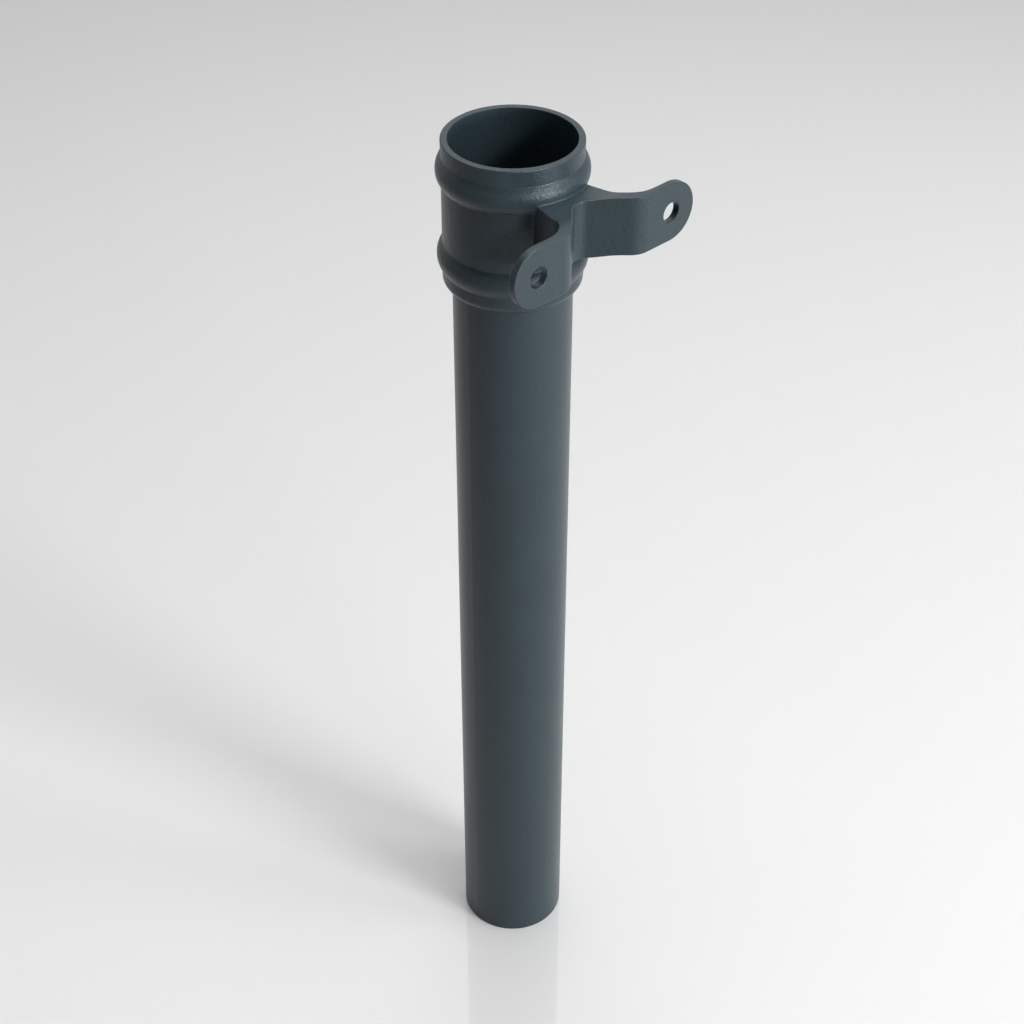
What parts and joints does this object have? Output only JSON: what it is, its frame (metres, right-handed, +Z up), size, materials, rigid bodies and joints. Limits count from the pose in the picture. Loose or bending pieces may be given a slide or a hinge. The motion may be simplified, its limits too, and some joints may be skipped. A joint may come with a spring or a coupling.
{
  "type": "round downpipe with eared socket",
  "caption": "Round aluminium rainwater pipe with a cast beaded socket at the top and a pair of ears for fixing it to a wall.",
  "frame": {"origin": "centre of the tube's lower end, on its end plane", "axes": "+Z up the pipe towards the socket, +Y from the pipe towards the wall it is fixed to, X along the wall"},
  "size_m": [0.1492, 0.1274, 0.678],
  "materials": {
    "tube_coating": "matt anthracite powder coat on extruded aluminium",
    "casting_coating": "matt anthracite powder coat on cast aluminium"
  },
  "bodies": {
    "root": {"downpipe_tube": "tube_coating", "eared_socket": "casting_coating"}
  },
  "joints": []
}
